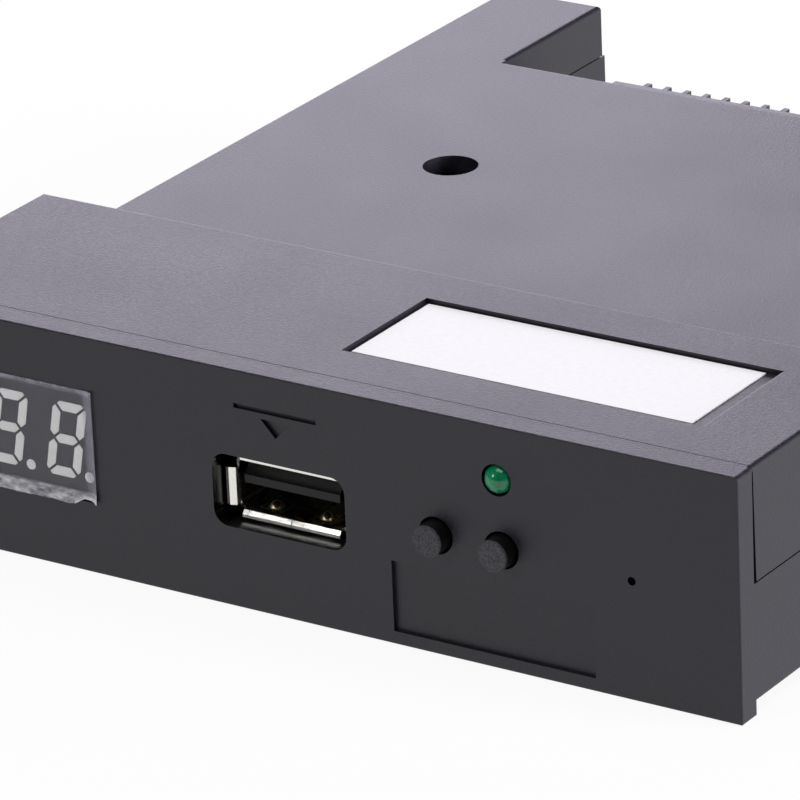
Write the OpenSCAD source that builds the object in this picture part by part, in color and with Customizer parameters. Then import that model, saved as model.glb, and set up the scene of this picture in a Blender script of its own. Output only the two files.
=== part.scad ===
// Floppy drive emulator for a 3.5 inch bay: a two-part moulded case around one circuit board.
// Inside each module, y runs back from the bezel's face and z up from the bezel's lower edge.

/* [Case] */
// Width of the front bezel
case_w = 101.6; // [98:0.1:110]
// Height of the front bezel
case_h = 25.4; // [24.6:0.1:32]
// Depth from the bezel's face to the rear of the side arms
case_d = 121; // [114:0.5:150]
// Thickness of the bezel
bezel_t = 2.65; // [2:0.05:3.2]
// Rounding of the bezel's front edges
bezel_edge_r = 0.2; // [0.1:0.05:0.8]
// How far the bezel stands out beyond each side of the body
bezel_lip = 0.2; // [0.1:0.05:0.8]
// How far the bezel hangs below the body's underside
bezel_drop = 1.2; // [0.4:0.1:1.6]
// Thickness of the case's side walls
wall_t = 2; // [1.4:0.1:2.6]
// Thickness of the base's floor
floor_t = 2; // [1.2:0.1:2.4]
// Thickness of the cover's roof
roof_t = 2; // [1.2:0.1:2.2]
// Distance from the bezel's top edge down to the seam between base and cover
seam_drop = 12; // [11:0.1:12.8]
// Width of the seam between base and cover
seam_gap = 0.15; // [0.1:0.05:0.4]
// Rounding of the edges along the base's underside
base_edge_r = 0.5; // [0.2:0.1:1.5]

/* [Cover] */
// Distance from the bezel to the cover's full outline
cover_gap = 0.5; // [0.3:0.05:1]
// Gap between the bezel and the lip at the front of the cover's roof
cover_lip_gap = 0.05; // [0.05:0.01:0.25]
// How far the roof's front lip lies below the roof's top
cover_lip_inset = 0.02; // [0.02:0.01:0.6]
// How far the skirt's front edge leans away from the bezel at the seam
skirt_lean = 0.3; // [0.1:0.05:0.6]
// Rounding of the cover's top edges
cover_edge_r = 0.5; // [0.3:0.1:1.6]
// Rounding of the edge where the raised part steps down
step_edge_r = 0.8; // [0.2:0.1:1.2]
// Rounding of the deck's rear edge
deck_edge_r = 1.2; // [0.2:0.1:1.6]
// Rounding of the rear arms' inner and rear edges
arm_edge_r = 0.5; // [0.2:0.1:1.6]
// Depth of the raised front part, from the bezel's face
raised_d = 31; // [28:0.5:38]
// Step down from the raised part to the deck behind it
deck_drop = 5.9; // [3:0.1:6.2]
// Width of the rear notch between the side arms
notch_w = 75.8; // [74:0.2:80]
// Depth of the rear notch
notch_d = 20.7; // [18:0.1:26]
// How far the cover's arms stop short of the base's
arm_step = 0.5; // [0.1:0.05:1]
// Diameter of the hole in the deck
deck_hole_d = 6; // [3:0.5:10]
// Distance from the bezel's left side to the deck's hole
deck_hole_inset = 25.2; // [16:0.2:80]
// Place of the deck's hole behind the bezel's face
deck_hole_y = 69.7; // [50:0.2:82]
// Width of the label's recess
recess_w = 40.5; // [30:0.5:44]
// Depth of the label's recess, front to back
recess_d = 15.3; // [12:0.1:17]
// How deep the label's recess is sunk
recess_sink = 0.55; // [0.2:0.05:1]
// Rounding of the recess's right edge
recess_edge_r = 0.5; // [0.1:0.05:0.5]
// Distance from the bezel's right side to the label's recess
recess_inset = 9.45; // [6:0.05:20]
// Front edge of the label's recess behind the bezel's face
recess_y = 9.1; // [6:0.1:12]
// Gap between the label and its recess at the left
label_left_gap = 0.45; // [0.2:0.05:1]
// Gap between the label and its recess at the right
label_right_gap = 1.5; // [0.2:0.1:4]
// Gap between the label and its recess at the front
label_front_gap = 1.1; // [0.2:0.05:2]
// Gap between the label and its recess at the rear
label_rear_gap = 0.3; // [0.1:0.05:1]
// Thickness of the paper label
label_t = 0.12; // [0.08:0.02:0.3]

/* [Bezel details] */
// Distance from the bezel's right side to the sunken panel
panel_inset = 16.1; // [8:0.1:24]
// Width of the sunken panel
panel_w = 22.9; // [16:0.1:30]
// Lower edge of the sunken panel
panel_z = 1.4; // [0.8:0.05:2]
// Height of the sunken panel
panel_h = 7.5; // [4:0.1:7.8]
// How deep the panel is sunk
panel_sink = 0.45; // [0.2:0.05:1]
// Diameter of the reset pinhole
reset_d = 0.9; // [0.6:0.1:2]
// Distance from the bezel's right side to the reset pinhole
reset_inset = 11.8; // [6:0.1:16]
// Distance from the bezel's top edge down to the reset pinhole
reset_drop = 12.95; // [5:0.05:18]
// Length of the line in the engraved insertion mark above the port
mark_w = 9.6; // [6:0.1:12]
// Width of the insertion mark's line
mark_line = 0.5; // [0.3:0.05:0.8]
// Width of the insertion mark's arrow
arrow_w = 3.4; // [2:0.1:5]
// Height of the insertion mark's arrow
arrow_h = 1.8; // [1:0.1:2.2]
// Gap between the insertion mark's line and its arrow
arrow_gap = 0.6; // [0.3:0.05:1]
// How deep the insertion mark is engraved
mark_sink = 0.4; // [0.1:0.05:0.6]

/* [Circuit board] */
// Diameter of the posts
standoff_d = 6.5; // [5.2:0.1:8]
// Thickness of the board
board_t = 1.6; // [1:0.1:2]
// Gap between the side wall and the board
board_side_gap = 6; // [5.8:0.1:8]
// Gap between the bezel and the board
board_front_gap = 1.9; // [1.5:0.05:2.2]
// How far the board reaches into the rear notch
board_tail = 10; // [7:0.1:10.5]
// Diameter of the board screws' shanks
screw_d = 2.2; // [1.6:0.1:2.6]
// Diameter of the board screws' heads
screw_head_d = 4.6; // [3.6:0.1:5]
// Height of the board screws' heads
screw_head_h = 1.8; // [1.2:0.1:2.4]
// Gap between the board screws' tips and the base's floor
screw_tip_gap = 0.7; // [0.3:0.1:2]
// Place of the front screws behind the bezel's face
screw_front_y = 36; // [34:0.5:40]

/* [USB socket] */
// Middle of the socket across the bezel
usb_x = -1.1; // [-4:0.1:2]
// Distance from the bezel's top edge down to the socket's middle
port_drop = 13; // [12:0.1:13.5]
// Width of the socket's shell
usb_w = 13.2; // [12.8:0.1:14]
// Height of the socket's shell
usb_h = 5.8; // [5.6:0.1:6.4]
// Length of the shell
usb_len = 13; // [12:0.5:18]
// Thickness of the shell's sheet metal
usb_t = 0.3; // [0.2:0.05:0.4]
// How far the lips stay behind the bezel's face
usb_setback = 1.9; // [0.5:0.1:2.2]
// Length of the flared lips
lip_len = 0.7; // [0.5:0.05:1.2]
// How far the lower lip flares out from the shell
lip_flare = 0.6; // [0.3:0.05:0.7]
// How far the side lips flare out from the shell
lip_side_flare = 0.85; // [0.3:0.05:0.95]
// How far the side lips' middle lies below the socket's
lip_side_drop = 0.5; // [0:0.05:0.7]
// Radius of the shell's corners
usb_corner_r = 0.9; // [0.5:0.1:1.4]
// Gap beside the lips in the bezel's cut-out
port_gap_x = 0.32; // [0.2:0.01:1.2]
// Gap above and below the lips in the bezel's cut-out
port_gap_z = 0.33; // [0.2:0.01:0.8]
// Corner radius of the bezel's cut-out
port_r = 1.6; // [0.6:0.1:2.4]
// Width of the tongue
tongue_w = 11.2; // [10:0.1:11.6]
// Thickness of the tongue
tongue_t = 1.84; // [1.6:0.02:2]
// Gap between the tongue and the shell above it
tongue_gap = 0.7; // [0.4:0.02:0.8]
// How far the tongue's end lies behind the lips' front
tongue_setback = 0.5; // [0.4:0.1:4]
// Bevel along the upper edge of the tongue's end
tongue_bevel = 1; // [0.2:0.1:1.2]

/* [Display] */
// Distance from the bezel's left side to the display's middle
display_inset = 17; // [16:0.1:20]
// Distance from the bezel's top edge down to the display's middle
display_drop = 11.8; // [11.2:0.1:12.2]
// Width of the display's housing
display_w = 21.2; // [20.5:0.1:23]
// Height of the display's housing
display_h = 11.6; // [10.5:0.1:12]
// Depth of the display's housing
display_len = 7; // [5.5:0.1:8]
// How far the display's face stays behind the bezel's face
display_setback = 0.1; // [0.05:0.05:0.6]
// Gap round the display in the bezel's window
window_gap = 0.15; // [0.1:0.05:0.5]
// Height of a digit
digit_h = 8.1; // [6:0.1:9]
// Width of a digit before it is slanted
digit_w = 4.1; // [3.4:0.1:4.6]
// Slant of the digits, in degrees
digit_slant = 10; // [0:1:12]
// Distance between digits
digit_pitch = 7.15; // [6.8:0.05:7.4]
// Width of a segment
segment_w = 1; // [0.6:0.05:1.2]
// Gap between segments
segment_gap = 0.3; // [0.1:0.02:0.4]
// Diameter of a decimal point
dot_d = 1.1; // [0.6:0.1:1.4]
// Thickness of the protective film
film_t = 0.1; // [0.06:0.02:0.2]
// How far the film laps over the bezel at the sides and the top
film_lap = 0.15; // [0.1:0.05:1]
// How far the film laps over the bezel at the bottom
film_low_lap = 0.45; // [0.1:0.05:1.5]

/* [Buttons and light] */
// Distance from the bezel's right side to the right button
button_inset = 26.3; // [22:0.05:28]
// Distance between the buttons
button_pitch = 7.45; // [7.3:0.05:9]
// Diameter of a button
button_d = 3.3; // [2.6:0.1:3.8]
// Chamfer round a button's face
button_chamfer = 0.12; // [0.05:0.01:0.4]
// Radial gap between a button and its hole in the bezel
button_gap = 0.3; // [0.2:0.05:0.6]
// How far a button stands out of the bezel
button_proud = 1.8; // [1:0.1:3]
// Travel of a button
button_travel = 0.25; // [0.1:0.05:0.35]
// Width and height of a push switch
switch_size = 6.2; // [5.8:0.1:6.4]
// Depth of a push switch's body
switch_len = 3; // [2.6:0.1:4]
// Gap between the bezel and the push switches
switch_front_gap = 1.7; // [1:0.1:2.4]
// Diameter of the light's lens
led_d = 3; // [2.4:0.1:3.6]
// How far the lens stands out of the bezel
led_proud = 0.8; // [0.3:0.1:1]
// Distance from the bezel's right side to the light
led_inset = 26.6; // [20:0.1:34]
// Distance from the bezel's top edge down to the light
led_drop = 5.6; // [4.8:0.1:6.2]
// Radial gap between the lens and its hole in the bezel
led_gap = 0.15; // [0.1:0.05:0.3]

/* [Rear connectors] */
// Distance between pins
pin_pitch = 2.54; // [2:0.01:2.6]
// Width of a square pin
pin_w = 0.64; // [0.5:0.02:0.7]
// Number of columns in the data header
data_columns = 17; // [10:1:17]
// Middle of the data header across the case
data_x = -8.5; // [-9.5:0.1:-6]
// Height of the data header's block
data_block_h = 5.45; // [5.1:0.05:7]
// Height of the lower pin row above the board
row_rise = 0.8; // [0.5:0.05:1.3]
// How far the pins stand out behind the header
pin_reach = 5.2; // [4:0.1:8]
// Distance between the power pins
power_pitch = 2.5; // [2:0.1:2.6]
// Gap between the data header and the power header
power_gap = 4; // [2:0.1:6]
// Height of the jumper pins above their block
jumper_pin_h = 4; // [3:0.1:6]
// Height of the jumper shunt
shunt_h = 4.4; // [4.2:0.1:6]

/* [Bay mounting] */
// Diameter of the holes for M3 screws
mount_d = 2.5; // [2:0.1:3.2]
// Depth of the holes for M3 screws
mount_depth = 5.5; // [4:0.1:6]
// Height of the side holes above the body's underside
side_hole_z = 5; // [4.5:0.1:6]
// Place of the front side holes behind the bezel's face
side_hole_y = 26; // [22:0.5:28]
// Distance between the side holes
side_hole_pitch = 70; // [58:0.5:72]
// Inset of the bottom holes from the body's side
bottom_hole_inset = 4.6; // [4.4:0.1:6]
// Place of the front bottom holes behind the bezel's face
bottom_hole_y = 36; // [34:0.5:40]
// Distance between the front and rear bottom holes
bottom_hole_pitch = 70; // [60:0.5:72]

/* [Hidden] */
$fn = 48;
cut = 1;
fit_gap = 0.05;
arc_steps = 6;

// Case
body_half = case_w / 2 - bezel_lip;
inner_half = body_half - wall_t;
notch_half = notch_w / 2;
floor_z = bezel_drop + floor_t;
seam_z = case_h - seam_drop;
cover_z = seam_z + seam_gap;
deck_z = case_h - deck_drop;
deck_back = case_d - notch_d;
cover_front = bezel_t + cover_gap;
cover_lip_low = 0.1;
cover_back = case_d - arm_step;
front_y = (button_proud - case_d) / 2;
deck_hole_x = deck_hole_inset - case_w / 2;
recess_right = case_w / 2 - recess_inset;
recess_left = recess_right - recess_w;
recess_back = recess_y + recess_d;
recess_z = case_h - recess_sink;
panel_right = case_w / 2 - panel_inset;
ledge_t = 1;
ledge_gap = 0.2;
ledge_d = 2;
boss_skin = 1;
mount_boss_d = 6;

// Snap hooks of the cover, at these places behind the bezel's face
hook_ys = [46, 76];
hook_w = 8;
hook_t = 1.2;
hook_gap = 0.3;
hook_drop = 4.2;
barb_h = 1.4;
barb_land = 0.4;
pocket_skin = 0.9;
pocket_gap = 0.3;
hook_root_z = 1;
hook_root_h = 2;
hook_z = cover_z - hook_drop;

// Circuit board
port_z = case_h - port_drop;
board_top = port_z - usb_h / 2;
board_z = board_top - board_t;
board_half = inner_half - board_side_gap;
board_front = bezel_t + board_front_gap;
shoulder_gap = 1.5;
tail_gap = 0.5;
board_shoulder = deck_back - shoulder_gap;
board_back = deck_back + board_tail;
sill_gap = 1.2;
screw_inset = 4;
screw_rear_inset = 8;
screw_xs = [-board_half + screw_inset, board_half - screw_inset];
screw_ys = [screw_front_y, board_shoulder - screw_rear_inset];
screw_len = board_top - floor_z - screw_tip_gap;
screw_hole_gap = 0.3;
screw_slot_w = 0.7;
rest_t = 1.4;
rest_inset = 0.6;
rest_end_gap = 8;
rest_half = notch_half - rest_end_gap;

// Soldered legs
leg_below = 1.2;
leg_hole_d = pin_w * sqrt(2) + 2 * fit_gap;

// USB socket
lip_front = usb_setback;
lip_knee = 0.28;
lip_rise = 0.18;
shell_front = lip_front + lip_len;
shell_back = lip_front + usb_len;
tongue_front = lip_front + tongue_setback;
tongue_top = port_z + usb_h / 2 - usb_t - tongue_gap;
usb_block_len = 4.4;
usb_block_back = shell_back - usb_t;
contact_w = 1;
contact_t = 0.25;
contact_xs = [-3.5, -1, 1, 3.5];
contact_inset = 0.7;
contact_leg_y = shell_back + usb_t + contact_t;
shell_leg_inset = 6.4;
shell_leg_y = shell_front + shell_leg_inset;
shell_leg_w = 1.6;
finger_w = 2.2;
finger_len = 6;
finger_x = 3;
finger_start = 0.25;
slit_w = 0.3;
fold_gap = 0.12;
dimple_inset = 1.4;
dimple_r = 0.8;
dimple_rise = 0.6;

// Display
display_x = display_inset - case_w / 2;
display_z = case_h - display_drop;
window_half_w = display_w / 2 + window_gap;
window_half_h = display_h / 2 + window_gap;
display_back = display_setback + display_len;
display_board_t = 1.6;
display_board_back = display_back + display_board_t;
display_board_rim_x = 1.4;
display_board_rim_z = 1.95;
display_board_half = display_w / 2 + display_board_rim_x;
display_board_rise = display_h / 2 + display_board_rim_z;
rib_gap = 0.35;
rib_t = 0.9;
rib_half = 4;
digit_dx = 0.2;
digit_dz = 0.3;
segment_trim = 0.55;
dot_dx = 2.55;
dot_dz = -3.6;
inlay_t = 0.3;
inlay_gap = 0.03;
display_leg_w = 0.5;
display_leg_inset = 0.72;
display_leg_rise = display_h / 2 - display_leg_inset;
display_leg_out = 0.6;
display_leg_columns = 6;
link_gap = 1.6;
link_pins = 4;
board_notch_gap = 0.9;
board_notch_side_gap = 1;
board_notch_y = display_board_back + board_notch_gap;
board_notch_x = display_x + display_board_half + board_notch_side_gap;

// Buttons, push switches and light
right_button_x = case_w / 2 - button_inset;
button_xs = [right_button_x - button_pitch, right_button_x];
button_z = board_top + switch_size / 2;
plate_t = 0.3;
plate_front = bezel_t + switch_front_gap;
switch_front = plate_front + plate_t;
switch_back = switch_front + switch_len;
plunger_gap = 0.1;
collar_rim = 0.5;
collar_t = 0.7;
collar_gap = 0.15;
collar_front = switch_front + collar_gap;
nub_d = 2;
nub_len = 0.45;
nub_back = collar_front + collar_t + nub_len;
chamber_gap = 0.3;
chamber_r = button_d / 2 + collar_rim + chamber_gap;
dome_gap = 0.05;
dome_t = 0.1;
dome_rise = 0.3;
dome_front = nub_back + button_travel + dome_gap;
chamber_back = dome_front + dome_rise + dome_t;
bracket_tail = 0.8;
bracket_len = switch_len + plate_t + bracket_tail;
bracket_h = 2.6;
bracket_leg_w = 0.9;
bracket_leg_inset = 0.6;
bracket_leg_y = plate_front + bracket_len - bracket_leg_inset;
switch_leg_w = 0.6;
switch_leg_dx = 2.25;
switch_leg_y = switch_front + switch_len / 2;
led_x = case_w / 2 - led_inset;
led_z = case_h - led_drop;
led_len = 5.3;
led_flange_rim = 0.4;
led_flange_t = 1;
led_back = led_len - led_proud;
holder_half = 2.2;
holder_arm = 2.2;
post_gap = 0.8;
post_front = plate_front + bracket_len + post_gap;
post_t = 3.6;
lead_w = 0.5;
lead_dx = 1.27;
lead_y = post_front + post_t / 2;
lead_slot_w = lead_w + 4 * fit_gap;

// Rear connectors
block_overhang = 0.4;
block_back = board_back + block_overhang;
block_front = block_back - pin_pitch;
leg_y1 = block_front - pin_pitch / 2;
leg_y2 = leg_y1 - pin_pitch;
data_xs = [for (i = [0:data_columns - 1]) data_x + (i - (data_columns - 1) / 2) * pin_pitch];
data_left = data_xs[0] - pin_pitch / 2;
data_right = data_xs[data_columns - 1] + pin_pitch / 2;
power_pins = 4;
power_end = 0.8;
power_half = power_pins * power_pitch / 2 + power_end;
power_x = data_right + power_gap + power_half;
power_xs = [for (i = [0:power_pins - 1]) power_x + (i - (power_pins - 1) / 2) * power_pitch];
power_rise = 2.6;
power_block_h = 5.2;
shroud_t = 1;
shroud_len = 5.2;
shroud_wall_h = 3;
jumper_gap_x = 0.9;
jumper_gap_y = 0.6;
jumper_x = -notch_half + jumper_gap_x + pin_pitch;
jumper_y = deck_back + jumper_gap_y + pin_pitch;
jumper_xs = [jumper_x - pin_pitch / 2, jumper_x + pin_pitch / 2];
jumper_ys = [jumper_y - pin_pitch / 2, jumper_y + pin_pitch / 2];
jumper_block_top = board_top + pin_pitch;
shunt_gap = 0.15;
shunt_rest_gap = 0.1;
rear_wall_gap = 0.8;
rear_wall_z = board_top + 2 * pin_pitch + rear_wall_gap;

// Board components: middle of each one, across and behind the bezel's face
chip_at = [6, 56];
chip_w = 10;
chip_t = 1.4;
chip_lift = 0.1;
chip_pitch = 0.5;
chip_side_leads = 16;
chip_dot_d = 0.8;
chip_dot_inset = 1.2;
chip_dot_sink = 0.1;
chip_lead_w = 0.22;
chip_lead_t = 0.13;
chip_lead_bend = 0.45;
chip_lead_out = 1;
crystal_at = [20, 60];
crystal_w = 10.5;
crystal_d = 3.8;
crystal_h = 3.6;
crystal_rim = 0.4;
regulator_at = [26, 86];
regulator_w = 6.5;
regulator_d = 3.5;
regulator_h = 1.6;
regulator_tab_w = 3;
regulator_lead_w = 0.7;
regulator_lead_h = 0.8;
regulator_lead_pitch = 2.3;
regulator_lead_out = 1.75;
regulator_lead_bite = 0.25;
flat_chip_d = 3.9;
flat_chip_h = 1.5;
flat_chip_span = 6;
flat_lead_pitch = 1.27;
flat_lead_w = 0.4;
flat_lead_t = 0.2;
flat_lead_bite = 0.1;
flat_lead_bend = 0.5;
driver_len = 10;
driver_leads = 8;
buffer_len = 8.7;
buffer_leads = 7;
buffer_ats = [[-20, 84], [-4, 84]];
capacitor_ats = [[32, 74], [32, 62]];
capacitor_d = 6.3;
capacitor_h = 5.4;
capacitor_base_h = 0.6;
capacitor_base_rim = 0.15;
resistor_at = [-26, 72];
resistor_size = [1.2, 2, 0.5];
resistor_pitch = 2.4;
resistor_count = 8;
resistor_ats = [for (i = [0:resistor_count - 1]) resistor_at + [i * resistor_pitch, 0]];
ceramic_at = [-4, 46];
ceramic_size = [2, 1.2, 0.8];
ceramic_pitch = 4;
ceramic_count = 6;
ceramic_ats = [for (i = [0:ceramic_count - 1]) ceramic_at + [i * ceramic_pitch, 0]];
serial_at = [-14, 60];
serial_pins = 4;
serial_pin_h = 4;

black = "#2b2a2d";
steel = "#c9c9c6";
gold = "#c9a85a";

// Points of an arc
function arc(cx, cy, r, a0, a1) =
    [for (i = [0:arc_steps]) let (a = a0 + (a1 - a0) * i / arc_steps) [cx + r * cos(a), cy + r * sin(a)]];

// One corner of an outline, round or sharp
function corner(x, y, r, sx, sy, a0) = r > 0 ? arc(x + sx * r, y + sy * r, r, a0, a0 + 90) : [[x, y]];

// Rectangle with a radius for each corner: lower left, lower right, upper right, upper left
function round_box(x0, y0, x1, y1, r) = concat(
    corner(x0, y0, r[0], 1, 1, 180),
    corner(x1, y0, r[1], -1, 1, 270),
    corner(x1, y1, r[2], -1, -1, 0),
    corner(x0, y1, r[3], 1, -1, 90)
);

// Sliver off an upper edge at (a, b) that leaves radius r; side is 1 where the solid lies below a
function edge_sliver(a, b, r, side) = concat(
    [[a + side * cut, b + cut], [a - side * r, b + cut]],
    [for (i = [0:arc_steps]) let (t = 90 * i / arc_steps) [a - side * r * (1 - sin(t)), b - r *
        (1 - cos(t))]],
    [[a + side * cut, b - r]]
);

// Puts the case's frame, with y from the bezel's face, where the whole part is centred
module in_case() {
    translate([0, front_y, 0]) children();
}

// Extrudes an outline in x and z along y
module along_y(y0, y1) {
    translate([0, y1, 0]) rotate([90, 0, 0]) linear_extrude(y1 - y0) children();
}

// Extrudes an outline in y and z along x
module along_x(x0, x1) {
    translate([x0, 0, 0]) rotate([90, 0, 90]) linear_extrude(x1 - x0) children();
}

// Box from its low and high corners
module box(low, high) {
    translate(low) cube(high - low);
}

// Round bar along y
module bar_y(x, z, y0, y1, d) {
    translate([x, y1, z]) rotate([90, 0, 0]) cylinder(d = d, h = y1 - y0);
}

// Square pin along z
module pin_z(x, y, z0, z1, w = pin_w) {
    box([x - w / 2, y - w / 2, z0], [x + w / 2, y + w / 2, z1]);
}

// Square pin along y
module pin_y(x, z, y0, y1, w = pin_w) {
    box([x - w / 2, y0, z - w / 2], [x + w / 2, y1, z + w / 2]);
}

// Holes through the main board at a list of places
module board_holes(places, d) {
    for (p = places) translate([p[0], p[1], board_z - cut])
        cylinder(d = d, h = board_t + 2 * cut, $fn = 24);
}

// The places of each row of soldered legs in the main board
data_legs = [for (x = data_xs, y = [leg_y1, leg_y2]) [x, y]];
power_legs = [for (x = power_xs) [x, leg_y1]];
jumper_legs = [for (x = jumper_xs, y = jumper_ys) [x, y]];
serial_xs = [for (i = [0:serial_pins - 1]) serial_at[0] + (i - (serial_pins - 1) / 2) * pin_pitch];
serial_legs = [for (x = serial_xs) [x, serial_at[1]]];
link_xs = [for (i = [0:link_pins - 1]) display_x + (i - (link_pins - 1) / 2) * pin_pitch];
link_front = display_board_back + link_gap;
link_leg_y = link_front + 1.5 * pin_pitch;
link_z = board_top + pin_pitch / 2;
link_legs = [for (x = link_xs) [x, link_leg_y]];
led_legs = [for (s = [-1, 1]) [led_x + s * lead_dx, lead_y]];
switch_leg_ats = [for (x = button_xs, s = [-1, 1]) [x + s * switch_leg_dx, switch_leg_y]];
bracket_legs = [for (x = button_xs, s = [-1, 1]) [x + s * (switch_size + plate_t) / 2, bracket_leg_y]];
contact_legs = [for (x = contact_xs) [usb_x + x, contact_leg_y]];
shell_legs = [for (s = [-1, 1]) [usb_x + s * (usb_w - usb_t) / 2, shell_leg_y]];

// Front plate with rounded edges
module bezel_plate() {
    intersection() {
        along_y(0, bezel_t)
            polygon(round_box(-case_w / 2, 0, case_w / 2, case_h,
                [bezel_edge_r, bezel_edge_r, cover_edge_r, cover_edge_r]));
        along_x(-case_w, case_w)
            polygon(round_box(0, 0, bezel_t + cut, case_h, [bezel_edge_r, 0, 0, bezel_edge_r]));
        linear_extrude(case_h)
            polygon(round_box(-case_w / 2, 0, case_w / 2, bezel_t + cut,
                [bezel_edge_r, bezel_edge_r, 0, 0]));
    }
}

// Openings and marks in the front plate
module bezel_cuts() {
    y0 = -cut;
    y1 = bezel_t + cut;
    box([display_x - window_half_w, y0, display_z - window_half_h],
        [display_x + window_half_w, y1, display_z + window_half_h]);
    port_x = usb_w / 2 + lip_side_flare + port_gap_x;
    port_rise = usb_h / 2 + lip_flare + port_gap_z;
    along_y(y0, y1)
        polygon(round_box(usb_x - port_x, port_z - port_rise, usb_x + port_x, port_z + port_rise,
            [port_r, port_r, port_r, port_r]));
    bar_y(led_x, led_z, y0, y1, led_d + 2 * led_gap);
    for (x = button_xs) bar_y(x, button_z, y0, y1, button_d + 2 * button_gap);
    bar_y(case_w / 2 - reset_inset, case_h - reset_drop, y0, y1, reset_d);
    box([panel_right - panel_w, y0, panel_z], [panel_right, panel_sink, panel_z + panel_h]);
    mark_z = (port_z + port_rise + case_h) / 2;
    along_y(y0, mark_sink) {
        polygon([[usb_x, mark_z - arrow_h], [usb_x + arrow_w / 2, mark_z], [usb_x - arrow_w / 2, mark_z]]);
        translate([usb_x - mark_w / 2, mark_z + arrow_gap]) square([mark_w, mark_line]);
    }
}

// Lower shell: bezel, floor, side walls and the two rear arms
module base_shell() {
    color(black) in_case() difference() {
        union() {
            difference() {
                union() {
                    bezel_plate();
                    along_y(bezel_t / 2, case_d)
                        polygon(round_box(-body_half, bezel_drop, body_half, seam_z,
                            [base_edge_r, base_edge_r, 0, 0]));
                }
                box([-inner_half, bezel_t, floor_z], [inner_half, case_d - wall_t, seam_z + cut]);
            }
            for (s = [0, 1]) mirror([s, 0, 0]) base_side();
            board_supports();
            display_ribs();
            cover_ledge();
        }
        box([-notch_half, deck_back, floor_z], [notch_half, case_d + cut, seam_z + cut]);
        box([-notch_half, board_back + sill_gap, -cut], [notch_half, case_d + cut, seam_z + cut]);
        bezel_cuts();
        for (s = [0, 1]) mirror([s, 0, 0]) mount_holes();
        for (x = screw_xs, y = screw_ys)
            translate([x, y, board_top - screw_len - fit_gap])
                cylinder(d = screw_d + 2 * fit_gap, h = screw_len);
        for (s = [0, 1], y = hook_ys) mirror([s, 0, 0]) hook_pocket(y);
    }
}

// One side's arm wall and screw bosses
module base_side() {
    box([notch_half, deck_back, bezel_drop], [notch_half + wall_t, case_d, seam_z]);
    boss_r = mount_boss_d / 2;
    for (y = [side_hole_y, side_hole_y + side_hole_pitch])
        box([body_half - mount_depth - boss_skin, y - boss_r, floor_z - cut],
            [inner_half + wall_t / 2, y + boss_r, bezel_drop + side_hole_z + boss_r]);
    for (y = [bottom_hole_y, bottom_hole_y + bottom_hole_pitch])
        translate([body_half - bottom_hole_inset, y, floor_z - floor_t / 2])
            cylinder(d = mount_boss_d, h = mount_depth + boss_skin - floor_t / 2);
}

// One side's holes for M3 screws
module mount_holes() {
    for (y = [side_hole_y, side_hole_y + side_hole_pitch])
        translate([body_half - mount_depth, y, bezel_drop + side_hole_z])
            rotate([0, 90, 0]) cylinder(d = mount_d, h = mount_depth + cut);
    for (y = [bottom_hole_y, bottom_hole_y + bottom_hole_pitch])
        translate([body_half - bottom_hole_inset, y, bezel_drop - cut])
            cylinder(d = mount_d, h = mount_depth + cut);
}

// Posts and ribs that the main board lies on
module board_supports() {
    for (x = screw_xs, y = screw_ys)
        translate([x, y, floor_z - floor_t / 2])
            cylinder(d = standoff_d, h = board_z - floor_z + floor_t / 2);
    box([-rest_half, board_back - rest_inset - rest_t, floor_z - floor_t / 2],
        [rest_half, board_back - rest_inset, board_z]);
    box([usb_x - usb_w / 2, board_front + rest_inset, floor_z - floor_t / 2],
        [usb_x + usb_w / 2, board_front + rest_inset + rest_t, board_z]);
}

// Two ribs behind the bezel that the display board stands against
module display_ribs() {
    for (s = [-1, 1]) {
        x = display_x + s * (display_w / 2 + rib_gap + rib_t / 2);
        box([x - rib_t / 2, bezel_t / 2, display_z - rib_half],
            [x + rib_t / 2, display_back, display_z + rib_half]);
    }
}

// Ledge behind the bezel, under the front of the cover's roof
module cover_ledge() {
    top = case_h - roof_t - ledge_gap;
    half = inner_half - ledge_gap;
    box([-half, bezel_t / 2, top - ledge_t], [half, bezel_t + ledge_d, top]);
}

// Pocket in the base's wall that a snap hook catches in
module hook_pocket(y) {
    box([inner_half - cut, y - hook_w / 2 - pocket_gap, hook_z - pocket_gap],
        [body_half - pocket_skin, y + hook_w / 2 + pocket_gap, hook_z + barb_h + fit_gap]);
}

// Snap hook that hangs inside the base's wall
module cover_hook(y) {
    outer = inner_half - hook_gap;
    reach = body_half - pocket_skin - pocket_gap;
    root_top = cover_z + hook_root_z + hook_root_h;
    box([outer - hook_t, y - hook_w / 2, hook_z], [outer, y + hook_w / 2, root_top]);
    box([outer - hook_t, y - hook_w / 2, cover_z + hook_root_z],
        [inner_half + wall_t / 2, y + hook_w / 2, root_top]);
    along_y(y - hook_w / 2, y + hook_w / 2)
        polygon([[outer - hook_t / 2, hook_z], [outer, hook_z], [reach, hook_z + barb_h - barb_land],
            [reach, hook_z + barb_h], [outer - hook_t / 2, hook_z + barb_h]]);
}

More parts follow.
